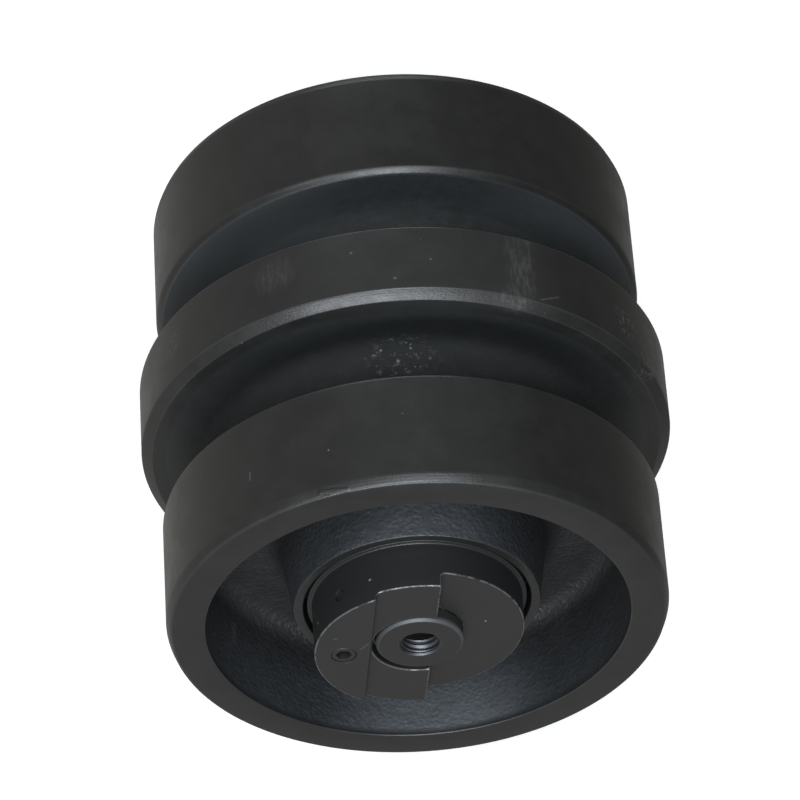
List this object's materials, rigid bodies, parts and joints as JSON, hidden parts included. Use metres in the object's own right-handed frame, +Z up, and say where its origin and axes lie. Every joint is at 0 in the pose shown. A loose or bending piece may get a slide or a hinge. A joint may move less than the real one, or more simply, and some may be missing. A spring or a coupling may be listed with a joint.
{
  "type": "track roller",
  "caption": "Sealed bottom roller for a rubber track: turned rims and a raised centre flange with grooves between, on a fixed shaft held by stepped end collars.",
  "frame": {"origin": "on the axis of rotation, midway between the two end collars, at the middle plane of the centre flange", "axes": "+Y along the shaft from the near end to the far end, +Z up with the roller lying on its side, -X towards the raised key of both end collars"},
  "size_m": [0.167, 0.1758, 0.167],
  "materials": {
    "shell_paint": "satin black paint over cast and turned steel",
    "collar_paint": "thin matt olive-black paint over milled steel",
    "shaft_steel": "ground steel, painted over on its end faces",
    "bushing_bronze": "turned bronze, oiled",
    "seal_ring_steel": "cast alloy ring with a lapped face",
    "seal_rubber": "black nitrile rubber",
    "pin_steel": "black oxide steel",
    "plug_steel": "painted-over steel"
  },
  "bodies": {
    "axle": {"shaft": "shaft_steel", "seal_ring_fixed_near": "seal_ring_steel", "seal_ring_fixed_far": "seal_ring_steel", "seal_rubber_fixed_near": "seal_rubber", "seal_rubber_fixed_far": "seal_rubber", "collar_near": "collar_paint", "collar_far": "collar_paint", "lock_pin_near": "pin_steel", "lock_pin_far": "pin_steel", "shaft_o_ring_near": "shaft_steel", "shaft_o_ring_far": "shaft_steel", "oil_plug_near": "plug_steel", "oil_plug_far": "plug_steel"},
    "roller": {"roller_shell": "shell_paint", "bushing_near": "bushing_bronze", "bushing_far": "bushing_bronze", "seal_ring_rotating_near": "seal_ring_steel", "seal_ring_rotating_far": "seal_ring_steel", "seal_rubber_rotating_near": "seal_rubber", "seal_rubber_rotating_far": "seal_rubber"}
  },
  "joints": [
    {"name": "roller_spin", "type": "hinge", "parent": "axle", "child": "roller", "pos_m": [0, 0, 0], "axis": [0, 1, 0], "continuous": true}
  ]
}
